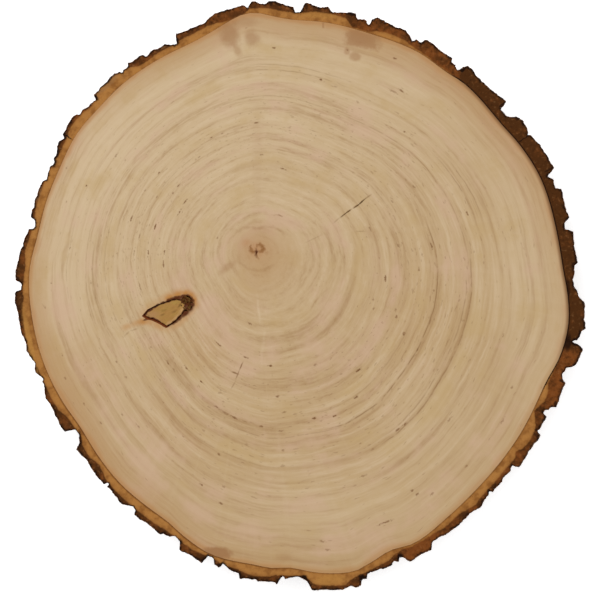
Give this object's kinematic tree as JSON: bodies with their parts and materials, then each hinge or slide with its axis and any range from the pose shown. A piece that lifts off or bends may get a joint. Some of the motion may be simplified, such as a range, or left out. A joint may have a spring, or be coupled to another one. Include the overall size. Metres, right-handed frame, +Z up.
{
  "type": "wood slice",
  "caption": "Round slice of a small trunk, sawn straight across, with bark round its edge, growth rings, an encased dead knot and a short drying check in its upper face.",
  "frame": {"origin": "middle of the bounding box in plan, on the underside, which rests on the surface", "axes": "+Z up out of the sanded upper face, along the trunk; +Y along the longer way across; +X to the right as seen from above with +Y up the page"},
  "size_m": [0.2862, 0.2951, 0.024],
  "materials": {
    "wood": "bare pale hardwood end grain, sanded",
    "bark": "rough fissured bark, reddish brown outside and ochre inside",
    "knot_wood": "dead knot wood, sanded, with a dark edge"
  },
  "bodies": {
    "root": {"wood_disc": "wood", "bark_ring": "bark", "dead_knot": "knot_wood"}
  },
  "joints": []
}
